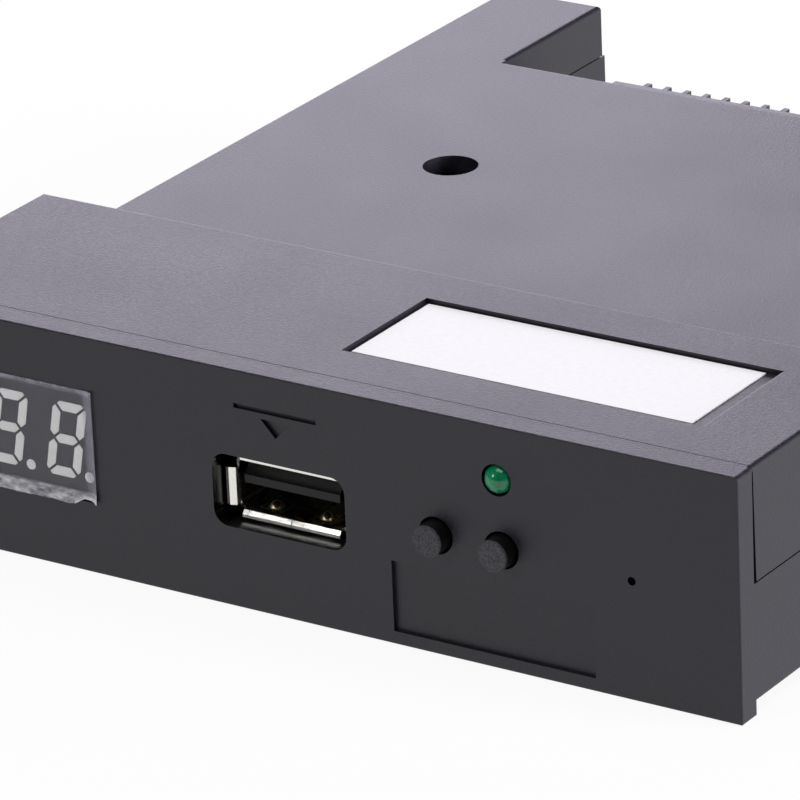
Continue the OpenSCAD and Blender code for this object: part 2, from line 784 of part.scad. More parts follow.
// Outside of the cover: the front lip, the raised front, the deck and the arms as one block
module cover_block() {
    lip_half = body_half - cover_lip_inset;
    lip_r = cover_edge_r - cover_lip_inset;
    along_y(bezel_t + cover_lip_gap, cover_front + 2 * skirt_lean)
        polygon(round_box(-lip_half, case_h - cover_edge_r - cover_lip_low,
            lip_half, case_h - cover_lip_inset, [0, 0, lip_r, lip_r]));
    intersection() {
        along_y(cover_front, raised_d)
            polygon(round_box(-body_half, cover_z, body_half, case_h, [0, 0, cover_edge_r, cover_edge_r]));
        along_x(-case_w, case_w)
            polygon(concat([[cover_front + skirt_lean, cover_z], [raised_d, cover_z]],
                corner(raised_d, case_h, step_edge_r, -1, -1, 0), [[cover_front, case_h]]));
    }
    intersection() {
        along_y(raised_d - roof_t, cover_back)
            polygon(round_box(-body_half, cover_z, body_half, deck_z, [0, 0, cover_edge_r, cover_edge_r]));
        along_x(-case_w, case_w)
            polygon(round_box(cover_front, cover_z, cover_back, deck_z, [0, 0, arm_edge_r, 0]));
    }
}

// Upper shell: raised front, deck, skirts and the upper half of the arms
module top_cover() {
    color(black) in_case() {
        difference() {
            cover_block();
            low = cover_z - cut;
            deck_under = deck_z - roof_t;
            box([-inner_half, bezel_t, low], [inner_half, raised_d - roof_t, case_h - roof_t]);
            box([-inner_half, bezel_t, low], [inner_half, deck_back - wall_t, deck_under]);
            for (s = [0, 1]) mirror([s, 0, 0])
                box([notch_half + wall_t, deck_back - 2 * wall_t, low],
                    [inner_half, cover_back - wall_t, deck_under]);
            box([-notch_half, deck_back, low], [notch_half, case_d + cut, deck_z + cut]);
            box([-notch_half, deck_back - 2 * wall_t, low], [notch_half, deck_back + cut, rear_wall_z]);
            translate([deck_hole_x, deck_hole_y, deck_under - cut])
                cylinder(d = deck_hole_d, h = roof_t + 2 * cut);
            box([recess_left, recess_y, recess_z], [recess_right, recess_back, case_h + cut]);
            along_y(recess_y, recess_back)
                polygon(edge_sliver(recess_right, case_h, min(recess_edge_r, recess_sink), -1));
            along_x(-notch_half, notch_half) polygon(edge_sliver(deck_back, deck_z, deck_edge_r, 1));
            for (s = [0, 1]) mirror([s, 0, 0])
                along_y(deck_back, case_d) polygon(edge_sliver(notch_half, deck_z, arm_edge_r, -1));
        }
        for (s = [0, 1], y = hook_ys) mirror([s, 0, 0]) cover_hook(y);
    }
}

// Blank paper label on the floor of its recess
module cover_label() {
    color("#f2f1f3") in_case()
        box([recess_left + label_left_gap, recess_y + label_front_gap, recess_z],
            [recess_right - label_right_gap, recess_back - label_rear_gap, recess_z + label_t]);
}

// Main board with a tail between the arms and a notch for the display
module main_board() {
    color("#1f5a3a") in_case() difference() {
        union() {
            box([-board_half, board_front, board_z], [board_half, board_shoulder, board_top]);
            box([-notch_half + tail_gap, board_front + cut, board_z],
                [notch_half - tail_gap, board_back, board_top]);
        }
        box([-board_half - cut, board_front - cut, board_z - cut],
            [board_notch_x, board_notch_y, board_top + cut]);
        board_holes([for (x = screw_xs, y = screw_ys) [x, y]], screw_d + 2 * screw_hole_gap);
        board_holes(concat(data_legs, power_legs, jumper_legs, serial_legs, link_legs), leg_hole_d);
        board_holes(concat(led_legs, switch_leg_ats), leg_hole_d);
        board_holes(contact_legs, contact_w + 4 * fit_gap);
        board_holes(shell_legs, shell_leg_w + 4 * fit_gap);
        board_holes(bracket_legs, bracket_leg_w + 4 * fit_gap);
    }
}

// Pan-head screws with a cross recess
module board_screws() {
    color(steel) in_case() for (x = screw_xs, y = screw_ys) translate([x, y, board_top]) difference() {
        union() {
            cylinder(d = screw_head_d, h = screw_head_h);
            translate([0, 0, -screw_len + fit_gap]) cylinder(d = screw_d, h = screw_len);
        }
        for (a = [0, 90]) rotate([0, 0, a])
            translate([-screw_head_d / 3, -screw_slot_w / 2, screw_head_h / 2])
                cube([2 * screw_head_d / 3, screw_slot_w, screw_head_h]);
    }
}

// Outline of the shell, made smaller all round by the given amount
module usb_outline(inset) {
    half_w = usb_w / 2 - inset;
    half_h = usb_h / 2 - inset;
    r = usb_corner_r - inset;
    polygon(round_box(-half_w, -half_h, half_w, half_h, [r, r, r, r]));
}

// Plated shell with flared lips, spring fingers and two mounting legs
module usb_shell() {
    half_w = usb_w / 2;
    half_h = usb_h / 2;
    straight_w = half_w - usb_corner_r;
    straight_h = half_h - usb_corner_r;
    color(steel) in_case() translate([usb_x, 0, port_z]) difference() {
        union() {
            along_y(shell_front, shell_back) difference() {
                usb_outline(0);
                usb_outline(usb_t);
            }
            for (s = [0, 1]) {
                translate([0, 0, -lip_side_drop]) mirror([s, 0, 0])
                    linear_extrude(2 * straight_h, center = true)
                    polygon([for (p = lip_outline(half_w, lip_side_flare)) [p[1], p[0]]]);
                mirror([s, 0, 0])
                    box([half_w - usb_t, shell_leg_y - shell_leg_w / 2, board_z - leg_below - port_z],
                        [half_w, shell_leg_y + shell_leg_w / 2, 0]);
            }
            mirror([0, 0, 1]) along_x(-straight_w, straight_w) polygon(lip_outline(half_h, lip_flare));
            box([-straight_w, lip_front, half_h - usb_t], [straight_w, shell_front + usb_t, half_h]);
            for (s = [-1, 1]) translate([s * finger_x, shell_front + dimple_inset, -half_h + usb_t])
                intersection() {
                    translate([0, 0, dimple_rise - dimple_r]) sphere(r = dimple_r);
                    box([-finger_w, -finger_w, -usb_t / 2], [finger_w, finger_w, finger_w]);
                }
        }
        for (z = [-half_h - cut, half_h - usb_t - cut], s = [-1, 1])
            translate([s * finger_x, shell_front, z])
            finger_slit();
        box([-fold_gap / 2, lip_front - cut, -half_h - usb_t - cut],
            [fold_gap / 2, shell_back + cut, -half_h + usb_t + cut]);
    }
}

// Section of a flared lip, from the shell's edge out to its front, at height h from the socket's middle
function lip_outline(h, flare) = [
    [shell_front + usb_t, h - usb_t], [shell_front + usb_t, h], [shell_front, h],
    [lip_front + lip_knee, h + lip_rise], [lip_front, h + flare], [lip_front, h + flare - usb_t],
    [lip_front + lip_knee, h + lip_rise - usb_t], [shell_front, h - usb_t]
];

// Slit round three sides of a spring finger
module finger_slit() {
    h = usb_t + 2 * cut;
    for (s = [-1, 1])
        translate([s * (finger_w + slit_w) / 2 - slit_w / 2, finger_start, 0])
            cube([slit_w, finger_len, h]);
    translate([-finger_w / 2 - slit_w, finger_start, 0]) cube([finger_w + 2 * slit_w, slit_w, h]);
}

// Insulator: a block in the rear of the shell and the tongue that reaches forward
module usb_insulator() {
    color(black) in_case() difference() {
        union() {
            translate([usb_x, 0, port_z]) along_y(usb_block_back - usb_block_len, usb_block_back)
                usb_outline(usb_t + fit_gap);
            translate([usb_x, 0, tongue_top]) along_x(-tongue_w / 2, tongue_w / 2)
                polygon([[tongue_front, -tongue_t], [usb_block_back - cut, -tongue_t],
                    [usb_block_back - cut, 0], [tongue_front + tongue_bevel, 0],
                    [tongue_front, -tongue_bevel]]);
        }
        for (x = contact_xs) {
            half = contact_w / 2 + fit_gap;
            box([usb_x + x - half, tongue_front + contact_inset - fit_gap, tongue_top - tongue_t - cut],
                [usb_x + x + half, usb_block_back - usb_block_len + fit_gap,
                    tongue_top - tongue_t + contact_t / 2 + fit_gap]);
            box([usb_x + x - half, usb_block_back - usb_block_len - cut,
                tongue_top - tongue_t - contact_t / 2 - fit_gap],
                [usb_x + x + half, usb_block_back + cut, tongue_top - tongue_t + contact_t / 2 + fit_gap]);
        }
    }
}

// Spring contacts under the tongue, with legs behind the shell
module usb_contacts() {
    z = tongue_top - tongue_t - contact_t / 2;
    color(gold) in_case() for (x = contact_xs) translate([usb_x + x - contact_w / 2, 0, 0]) {
        box([0, tongue_front + contact_inset, z],
            [contact_w, contact_leg_y + contact_t / 2, z + contact_t]);
        box([0, contact_leg_y - contact_t / 2, board_z - leg_below],
            [contact_w, contact_leg_y + contact_t / 2, z + contact_t]);
    }
}

// A point of a digit, slanted about the digit's middle
function slanted(p) = [p[0] + p[1] * tan(digit_slant), p[1]];

// Half the top segment's outline: its ends follow the mitre of the digit's corner, with the tip trimmed
function bar_outline(grow, gap) =
    let (top = digit_h / 2 + grow, low = digit_h / 2 - segment_w - grow,
        end = (digit_w - digit_h) / 2 - gap)
    [[top + end - segment_trim, top], [top + end - segment_trim / 2, top - segment_trim / 2],
        [low + end, low]];

// Outline of the upper right segment: mitred at the corner and pointed at the digit's middle
function side_outline(grow, gap) =
    let (out = digit_w / 2 + grow, low = digit_w / 2 - segment_w - grow, mid = (digit_w - segment_w) / 2)
    let (end = (digit_h - digit_w) / 2 - gap)
    [[mid, gap], [out, out - mid + gap], [out, out + end - segment_trim],
        [out - segment_trim / 2, out + end - segment_trim / 2], [low, low + end], [low, mid - low + gap]];

// Outline of the middle segment, pointed at both ends
function middle_outline(grow, gap) =
    let (tip = (digit_w - segment_w) / 2 - gap, h = segment_w / 2 + grow)
    [[tip, 0], [tip - h, h], [h - tip, h], [-tip, 0], [h - tip, -h], [tip - h, -h]];

// The seven segments of a digit, drawn upright and then slanted, with an allowance for the pocket round them
module digit_outline(grow) {
    gap = (segment_gap / 2 - grow) * sqrt(2);
    bar = bar_outline(grow, gap);
    side = side_outline(grow, gap);
    flipped = [for (i = [len(bar) - 1:-1:0]) [-bar[i][0], bar[i][1]]];
    for (t = [-1, 1]) {
        polygon([for (p = concat(bar, flipped)) slanted([p[0], t * p[1]])]);
        for (s = [-1, 1]) polygon([for (p = side) slanted([s * p[0], t * p[1]])]);
    }
    polygon([for (p = middle_outline(grow, gap)) slanted(p)]);
}

// All digits and decimal points, in x and z
module digits_outline(grow) {
    for (i = [-1:1]) translate([display_x + digit_dx + i * digit_pitch, display_z + digit_dz]) {
        digit_outline(grow);
        translate([dot_dx, dot_dz]) circle(d = dot_d + 2 * grow, $fn = 24);
    }
}

// Display housing with pockets for the segments in its face
module display_housing() {
    color("#3a3a42") in_case() difference() {
        box([display_x - display_w / 2, display_setback, display_z - display_h / 2],
            [display_x + display_w / 2, display_back, display_z + display_h / 2]);
        along_y(display_setback - cut, display_setback + inlay_t + inlay_gap) digits_outline(inlay_gap);
    }
}

// Pale segments and decimal points, flush with the display's face
module display_segments() {
    color("#d6d3cd") in_case() along_y(display_setback, display_setback + inlay_t) digits_outline(0);
}

// Clear protective film over the display, lapped on to the bezel's face
module display_film() {
    half_w = window_half_w + film_lap;
    color("#e8eef2", 0.35) in_case()
        box([display_x - half_w, -film_t, display_z - window_half_h - film_low_lap],
            [display_x + half_w, 0, display_z + window_half_h + film_lap]);
}

// The places of the display's legs, in x and z
display_leg_ats = [for (i = [0:display_leg_columns - 1], s = [-1, 1])
    [display_x + (i - (display_leg_columns - 1) / 2) * pin_pitch, display_z + s * display_leg_rise]];

// Legs from the display through its board
module display_legs() {
    color(steel) in_case() for (p = display_leg_ats)
        pin_y(p[0], p[1], display_back, display_board_back + display_leg_out, display_leg_w);
}

// Board that stands behind the display
module display_board() {
    color("#1f5a3a") in_case() difference() {
        box([display_x - display_board_half, display_back, display_z - display_board_rise],
            [display_x + display_board_half, display_board_back, display_z + display_board_rise]);
        for (p = display_leg_ats)
            bar_y(p[0], p[1], display_back - cut, display_board_back + cut, display_leg_w * sqrt(2) + 2 *
                fit_gap);
        for (x = link_xs) bar_y(x, link_z, display_back - cut, display_board_back + cut, leg_hole_d);
    }
}

// Body and leads of a flat chip with leads on two sides, lying on z = 0, its length along x
module two_sided_chip(length, leads) {
    half = flat_chip_d / 2;
    mid = flat_chip_h / 2;
    bend = half + flat_lead_bend;
    translate([-length / 2, -half, chip_lift]) cube([length, flat_chip_d, flat_chip_h]);
    for (i = [0:leads - 1], s = [0, 1]) mirror([0, s, 0])
        translate([(i - (leads - 1) / 2) * flat_lead_pitch - flat_lead_w / 2, 0, 0])
            rotate([90, 0, 90]) linear_extrude(flat_lead_w)
                polygon([[half - flat_lead_bite, mid], [bend, mid], [bend, flat_lead_t],
                    [flat_chip_span / 2, flat_lead_t], [flat_chip_span / 2, 0], [bend - flat_lead_t, 0],
                    [bend - flat_lead_t, mid - flat_lead_t], [half - flat_lead_bite, mid - flat_lead_t]]);
}

// Driver chip on the rear of the display board
module display_driver() {
    color("#26262a") in_case()
        translate([display_x, display_board_back, (display_z + display_leg_rise + link_z) / 2])
            rotate([-90, 0, 0]) two_sided_chip(driver_len, driver_leads);
}

// Block of the header that links the two boards
module link_block() {
    color(black) in_case() difference() {
        half = link_pins * pin_pitch / 2;
        box([display_x - half, link_front, board_top],
            [display_x + half, link_front + pin_pitch, board_top + pin_pitch]);
        for (x = link_xs) pin_y(x, link_z, link_front - cut, link_front + pin_pitch + cut, pin_w + 2 *
            fit_gap);
    }
}

// Bent pins of the link header
module link_pins() {
    color(gold) in_case() for (x = link_xs) {
        pin_y(x, link_z, display_back + 4 * fit_gap, link_leg_y + pin_w / 2);
        pin_z(x, link_leg_y, board_z - leg_below, link_z + pin_w / 2);
    }
}

// Lens of the light, with a domed end and a flange
module led_lens() {
    r = led_d / 2;
    color("#117a46") in_case() translate([led_x, -led_proud, led_z]) rotate([-90, 0, 0]) {
        translate([0, 0, r]) sphere(r = r);
        translate([0, 0, r]) cylinder(r = r, h = led_len - r);
        translate([0, 0, led_len - led_flange_t]) cylinder(r = r + led_flange_rim, h = led_flange_t);
    }
}

// Leads of the light: back along the holder, then down into the board
module led_leads() {
    color(steel) in_case() for (p = led_legs) {
        pin_y(p[0], led_z, led_back, lead_y + lead_w / 2, lead_w);
        pin_z(p[0], lead_y, board_z - leg_below, led_z + lead_w / 2, lead_w);
    }
}

// Bracket that carries the light over the right push switch
module led_holder() {
    post_back = post_front + post_t;
    slot = lead_slot_w / 2;
    color(black) in_case() difference() {
        along_x(led_x - holder_half, led_x + holder_half)
            polygon([[led_back, led_z - holder_arm], [post_front, led_z - holder_arm],
                [post_front, board_top],
                [post_back, board_top], [post_back, led_z + holder_arm], [led_back, led_z + holder_arm]]);
        for (p = led_legs) {
            box([p[0] - slot, led_back - cut, led_z - slot],
                [p[0] + slot, post_back + cut, led_z + holder_arm + cut]);
            box([p[0] - slot, lead_y - slot, board_top - cut], [p[0] + slot, post_back + cut, led_z]);
        }
    }
}

// Button: a round plunger with a collar that the switch's steel plate holds back
module button(x) {
    r = button_d / 2;
    collar_y = collar_front + button_proud;
    collar_end = collar_y + collar_t;
    nub_end = nub_back + button_proud;
    color(black) in_case() translate([x, -button_proud, button_z]) rotate([-90, 0, 0]) rotate_extrude()
        polygon([[0, 0], [r - button_chamfer, 0], [r, button_chamfer], [r, collar_y],
            [r + collar_rim, collar_y],
            [r + collar_rim, collar_end], [nub_d / 2, collar_end], [nub_d / 2, nub_end], [0, nub_end]]);
}

// Switch body with a round chamber for the collar and the dome
module switch_body(x) {
    half = switch_size / 2;
    color("#242427") in_case() difference() {
        box([x - half, switch_front, board_top], [x + half, switch_back, board_top + switch_size]);
        bar_y(x, button_z, switch_front - cut, chamber_back, 2 * chamber_r);
    }
}

// Steel plate over the switch, with two side straps that are soldered to the board
module switch_plate(x) {
    half = switch_size / 2;
    color(steel) in_case() difference() {
        union() {
            box([x - half - plate_t, plate_front, board_top],
                [x + half + plate_t, switch_front, board_top + switch_size]);
            for (s = [0, 1]) translate([x, 0, 0]) mirror([s, 0, 0]) {
                box([half, plate_front, board_top],
                    [half + plate_t, plate_front + bracket_len, board_top + bracket_h]);
                box([half, bracket_leg_y - bracket_leg_w / 2, board_z - leg_below],
                    [half + plate_t, bracket_leg_y + bracket_leg_w / 2, board_top + bracket_h / 2]);
            }
        }
        bar_y(x, button_z, plate_front - cut, switch_front + cut, button_d + 2 * plunger_gap);
    }
}

// Spring dome at the bottom of the switch's chamber
module switch_dome(x) {
    rim_r = chamber_r - chamber_gap;
    flat_r = nub_d / 2;
    color(steel) in_case() translate([x, dome_front, button_z]) rotate([-90, 0, 0]) rotate_extrude()
        polygon([[0, 0], [flat_r, 0], [rim_r, dome_rise], [rim_r, dome_rise + dome_t], [flat_r, dome_t],
            [0, dome_t]]);
}

module left_button() {
    button(button_xs[0]);
}

module right_button() {
    button(button_xs[1]);
}

module left_switch_body() {
    switch_body(button_xs[0]);
}

module right_switch_body() {
    switch_body(button_xs[1]);
}

module left_switch_plate() {
    switch_plate(button_xs[0]);
}

module right_switch_plate() {
    switch_plate(button_xs[1]);
}

module left_switch_dome() {
    switch_dome(button_xs[0]);
}

module right_switch_dome() {
    switch_dome(button_xs[1]);
}

// Contact legs under both switches
module switch_legs() {
    color(steel) in_case() for (p = switch_leg_ats)
        pin_z(p[0], p[1], board_z - leg_below, board_top, switch_leg_w);
}

// Moves a component to its place on the main board
module on_board(at) {
    in_case() translate([at[0], at[1], board_top]) children();
}

// Body of the microcontroller
module controller_chip() {
    color("#26262a") on_board(chip_at) difference() {
        translate([-chip_w / 2, -chip_w / 2, chip_lift]) cube([chip_w, chip_w, chip_t]);
        translate([chip_dot_inset - chip_w / 2, chip_dot_inset - chip_w / 2,
            chip_lift + chip_t - chip_dot_sink])
            cylinder(d = chip_dot_d, h = cut);
    }
}

// Gull-wing leads on the four sides of the microcontroller
module controller_leads() {
    mid = chip_lift + chip_t / 2;
    knee = chip_lead_bend - chip_lead_t;
    color(steel) on_board(chip_at) for (side = [0:3], i = [0:chip_side_leads - 1]) rotate([0, 0, 90 * side])
        translate([chip_w / 2, (i - (chip_side_leads - 1) / 2) * chip_pitch + chip_lead_w / 2, 0])
            rotate([90, 0, 0])
            linear_extrude(chip_lead_w)
                polygon([[0, mid], [chip_lead_bend, mid], [chip_lead_bend, chip_lead_t],
                    [chip_lead_out, chip_lead_t], [chip_lead_out, 0], [knee, 0],
                    [knee, mid - chip_lead_t], [0, mid - chip_lead_t]]);
}

// Crystal in a low metal can with round ends
module crystal_can() {
    color(steel) on_board(crystal_at) {
        linear_extrude(crystal_rim) crystal_outline(crystal_rim);
        linear_extrude(crystal_h) crystal_outline(0);
    }
}

// Outline of the crystal's can
module crystal_outline(grow) {
    span = crystal_w - crystal_d;
    square([span, crystal_d + 2 * grow], center = true);
    for (s = [-1, 1]) translate([s * span / 2, 0]) circle(d = crystal_d + 2 * grow);
}

// Voltage regulator: body, tab and three leads
module regulator() {
    color("#26262a") on_board(regulator_at) {
        half_d = regulator_d / 2;
        reach = half_d + regulator_lead_out;
        root = half_d - regulator_lead_bite;
        box([-regulator_w / 2, -half_d, chip_lift], [regulator_w / 2, half_d, chip_lift + regulator_h]);
        box([-regulator_tab_w / 2, root, 0], [regulator_tab_w / 2, reach, regulator_lead_h]);
        for (i = [-1:1]) translate([i * regulator_lead_pitch, 0, 0])
            box([-regulator_lead_w / 2, -reach, 0], [regulator_lead_w / 2, -root, regulator_lead_h]);
    }
}

// Line buffers beside the data header
module buffer_chips() {
    color("#26262a") for (at = buffer_ats) on_board(at) two_sided_chip(buffer_len, buffer_leads);
}

// Aluminium cans of the electrolytic capacitors
module capacitor_cans() {
    color("#b9bcc0") for (at = capacitor_ats) on_board(at)
        translate([0, 0, capacitor_base_h]) cylinder(d = capacitor_d, h = capacitor_h);
}

// Plastic bases of the electrolytic capacitors
module capacitor_bases() {
    w = capacitor_d + 2 * capacitor_base_rim;
    color(black) for (at = capacitor_ats) on_board(at) translate([-w / 2, -w / 2, 0])
        cube([w, w, capacitor_base_h]);
}

// Chip resistors in a row
module chip_resistors() {
    color("#1d1d20") for (at = resistor_ats) on_board(at)
        translate([-resistor_size[0] / 2, -resistor_size[1] / 2, 0])
        cube(resistor_size);
}

// Ceramic chip capacitors in a row
module chip_capacitors() {
    color("#b59a72") for (at = ceramic_ats) on_board(at)
        translate([-ceramic_size[0] / 2, -ceramic_size[1] / 2, 0])
        cube(ceramic_size);
}

// Block of the serial programming header
module serial_block() {
    color(black) in_case() difference() {
        box([serial_at[0] - serial_pins * pin_pitch / 2, serial_at[1] - pin_pitch / 2, board_top],
            [serial_at[0] + serial_pins *
                pin_pitch / 2, serial_at[1] + pin_pitch / 2, board_top + pin_pitch]);
        for (p = serial_legs)
            pin_z(p[0], p[1], board_top - cut, board_top + pin_pitch + cut, pin_w + 2 * fit_gap);
    }
}

// Pins of the serial programming header
module serial_pins_row() {
    color(gold) in_case() for (p = serial_legs)
        pin_z(p[0], p[1], board_z - leg_below, board_top + pin_pitch + serial_pin_h);
}

// Bent pin of a rear header: tail z, leg y and the end of its reach
module bent_pin(x, z, leg_y, tip_y) {
    pin_y(x, z, leg_y - pin_w / 2, tip_y);
    pin_z(x, leg_y, board_z - leg_below, z + pin_w / 2);
}

// Block of the data header, with two rows of holes
module data_block() {
    color(black) in_case() difference() {
        box([data_left, block_front, board_top], [data_right, block_back, board_top + data_block_h]);
        for (x = data_xs, i = [0, 1])
            pin_y(x, board_top + row_rise + i *
                pin_pitch, block_front - cut, block_back + cut, pin_w + 2 * fit_gap);
    }
}

// Two rows of bent pins in the data header
module data_pins() {
    color(gold) in_case() for (x = data_xs) {
        bent_pin(x, board_top + row_rise, leg_y1, block_back + pin_reach);
        bent_pin(x, board_top + row_rise + pin_pitch, leg_y2, block_back + pin_reach);
    }
}

// Power header: a block with a shroud under and beside the pins
module power_block() {
    color("#e6e2d8") in_case() difference() {
        union() {
            box([power_x - power_half, block_front, board_top],
                [power_x + power_half, block_back, board_top + power_block_h]);
            box([power_x - power_half, block_front, board_top],
                [power_x + power_half, block_back + shroud_len, board_top + shroud_t]);
            for (s = [0, 1]) translate([power_x, 0, 0]) mirror([s, 0, 0])
                box([power_half - shroud_t, block_front, board_top],
                    [power_half, block_back + shroud_len, board_top + shroud_wall_h]);
        }
        for (x = power_xs) pin_y(x, board_top + power_rise, block_front - cut, block_back + cut,
            pin_w + 2 * fit_gap);
    }
}

// Four bent pins in the power header
module power_pins_row() {
    color(steel) in_case() for (x = power_xs)
        bent_pin(x, board_top + power_rise, leg_y1, block_back + pin_reach);
}

// Block of the drive-select jumper
module jumper_block() {
    color(black) in_case() difference() {
        box([jumper_x - pin_pitch, jumper_y - pin_pitch, board_top],
            [jumper_x + pin_pitch, jumper_y + pin_pitch, jumper_block_top]);
        for (p = jumper_legs)
            pin_z(p[0], p[1], board_top - cut, jumper_block_top + cut, pin_w + 2 * fit_gap);
    }
}

// Upright pins of the drive-select jumper
module jumper_pins() {
    color(gold) in_case() for (p = jumper_legs)
        pin_z(p[0], p[1], board_z - leg_below, jumper_block_top + jumper_pin_h);
}

// Shunt pushed over the jumper's first pair of pins
module jumper_shunt() {
    x = jumper_xs[0];
    half = pin_pitch / 2 - fit_gap;
    z0 = jumper_block_top + shunt_rest_gap;
    color("#2d4a8a") in_case() difference() {
        box([x - half, jumper_ys[0] - half, z0], [x + half, jumper_ys[1] + half, z0 + shunt_h]);
        for (y = jumper_ys) pin_z(x, y, z0 - cut, z0 + shunt_h + cut, pin_w + 2 * shunt_gap);
    }
}

base_shell();
top_cover();
cover_label();
main_board();
board_screws();
usb_shell();
usb_insulator();
usb_contacts();
display_housing();
display_segments();
display_film();
display_legs();
display_board();
display_driver();
link_block();
link_pins();
led_lens();
led_leads();
led_holder();
left_button();
right_button();
left_switch_body();
right_switch_body();
left_switch_plate();
right_switch_plate();
left_switch_dome();
right_switch_dome();
switch_legs();
controller_chip();
controller_leads();
crystal_can();
regulator();
buffer_chips();
capacitor_cans();
capacitor_bases();
chip_resistors();
chip_capacitors();
serial_block();
serial_pins_row();
data_block();
data_pins();
power_block();
power_pins_row();
jumper_block();
jumper_pins();
jumper_shunt();
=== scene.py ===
# %% [markdown]
# # Floppy drive emulator
# This is a bay device with a black plastic case, a display, a port and two buttons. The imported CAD
# model already has the shapes of its pieces, in metres, so it is loaded as a fixed frame. The script
# dresses it: finishes, the curled film over the display, light and camera. Modelling it all again here
# would only let the two drift apart.

# %% Load the frame
import bpy
from mathutils import Matrix, Vector, noise


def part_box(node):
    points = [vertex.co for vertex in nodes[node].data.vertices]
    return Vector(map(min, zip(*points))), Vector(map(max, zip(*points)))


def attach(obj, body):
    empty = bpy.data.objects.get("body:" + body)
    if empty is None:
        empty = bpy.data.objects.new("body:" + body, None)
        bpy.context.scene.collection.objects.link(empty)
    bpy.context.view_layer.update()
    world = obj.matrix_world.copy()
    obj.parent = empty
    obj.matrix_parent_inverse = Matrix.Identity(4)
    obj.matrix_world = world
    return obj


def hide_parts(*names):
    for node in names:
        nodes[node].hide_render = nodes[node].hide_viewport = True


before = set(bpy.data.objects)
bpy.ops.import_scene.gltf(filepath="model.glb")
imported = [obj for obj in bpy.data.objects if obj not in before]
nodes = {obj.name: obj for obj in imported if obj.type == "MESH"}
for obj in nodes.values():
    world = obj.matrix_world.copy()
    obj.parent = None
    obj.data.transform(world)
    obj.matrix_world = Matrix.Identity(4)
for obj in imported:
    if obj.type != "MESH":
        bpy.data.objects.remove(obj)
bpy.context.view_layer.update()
MM = 0.001

# %% [markdown]
# ## Camera
# A product photo like this one is taken from a distance with a long lens, so edges stay almost
# parallel. A camera could be placed by eye, but its place and lens come from a fit of the bezel's
# corners, the deck's edges and the pin row to a frame of 800 by 800, which puts most edges within a few
# pixels.

# %% Camera
SENSOR_MM = 36
LENS_MM = 302.16
eye = Vector((0.343554, -0.548933, 0.272724))
right = Vector((0.83760671, 0.54484365, -0.03950197))
up = Vector((-0.17992354, 0.34343312, 0.92178154))
turn = Matrix((right, up, right.cross(up))).transposed().to_4x4()
camera = bpy.data.objects.new("camera", bpy.data.cameras.new("camera"))
bpy.context.scene.collection.objects.link(camera)
camera.matrix_world = Matrix.Translation(eye) @ turn
camera.data.sensor_width = SENSOR_MM
camera.data.lens = LENS_MM
camera.data.clip_start = 0.05
bpy.context.scene.camera = camera
print("camera at", tuple(round(v, 3) for v in eye))

# %% [markdown]
# ## Colours and nodes
# A finish is a small graph of nodes around a Principled shader. Colours are easiest to pick as sRGB hex
# codes, but shaders work in linear light, so one function converts them. Another one adds a node and
# wires it, so that a graph reads as nested calls instead of pages of links.

# %% Colours and nodes
def linear(code):
    """Colour of an sRGB hex code, as linear RGBA."""
    parts = [int(code[i:i + 2], 16) / 255 for i in (1, 3, 5)]
    return [c / 12.92 if c < 0.04045 else ((c + 0.055) / 1.055) ** 2.4 for c in parts] + [1.0]


def add(tree, kind, out=0, **sockets):
    """Adds a node, sets or links its sockets (i0 is the first one) and gives back one of its outputs."""
    node = tree.nodes.new(kind)
    for name, value in sockets.items():
        if hasattr(node, name) and name not in node.inputs:
            setattr(node, name, value)
            continue
        numbered = name[0] == "i" and name[1:].isdigit()
        socket = node.inputs[int(name[1:]) if numbered else name.replace("_", " ")]
        if isinstance(value, bpy.types.NodeSocket):
            tree.links.new(value, socket)
        else:
            socket.default_value = value
    return node.outputs[out]


def start(name, **sockets):
    """New material: gives it, its tree, its Principled shader and the object coordinates."""
    material = bpy.data.materials.new(name)
    material.use_nodes = True
    tree = material.node_tree
    shader = tree.nodes["Principled BSDF"]
    for key, value in sockets.items():
        shader.inputs[key.replace("_", " ")].default_value = value
    return material, tree, shader, add(tree, "ShaderNodeTexCoord", out=3)


print("black plastic is about", [round(c, 4) for c in linear("#16141f")[:3]], "in linear light")

# %% [markdown]
# ## Patterns and surfaces
# Real surfaces vary a little from place to place. An image could hold that, but noise on object
# coordinates needs no unwrapping, and as those are the part's own metres, a grain has the same size in
# millimetres on every piece. One function then lets patterns drive colour, roughness and a bump of a
# real depth.

# %% Patterns and surfaces
NOISE_SPAN = (0.3, 0.7)
FULL_SPAN = (0.0, 1.0)


def grain(tree, where, size_mm, detail=2.0, stretch=(1, 1, 1)):
    """Noise whose lumps are about size_mm across, stretched along the axes."""
    scaled = add(tree, "ShaderNodeMapping", Vector=where, Scale=[1 / s for s in stretch])
    return add(tree, "ShaderNodeTexNoise", Vector=scaled, Scale=1 / (size_mm * MM), Detail=detail)


def dress(tree, shader, tint, colours, cloud, roughs, height, strength, depth_mm, span=NOISE_SPAN):
    """Colour follows the tint over its span, roughness follows the cloud, and the height becomes a bump."""
    share = add(tree, "ShaderNodeMapRange", Value=tint, From_Min=span[0], From_Max=span[1])
    dark, light = (linear(code) for code in colours)
    colour = add(tree, "ShaderNodeMix", out=2, data_type="RGBA", i0=share, i6=dark, i7=light)
    rough = add(tree, "ShaderNodeMapRange", Value=cloud, From_Min=NOISE_SPAN[0], From_Max=NOISE_SPAN[1],
                To_Min=roughs[0], To_Max=roughs[1])
    bump = add(tree, "ShaderNodeBump", Strength=strength, Distance=depth_mm * MM, Height=height)
    tree.links.new(colour, shader.inputs["Base Color"])
    tree.links.new(rough, shader.inputs["Roughness"])
    tree.links.new(bump, shader.inputs["Normal"])


print("noise lies mostly between", NOISE_SPAN[0], "and", NOISE_SPAN[1])

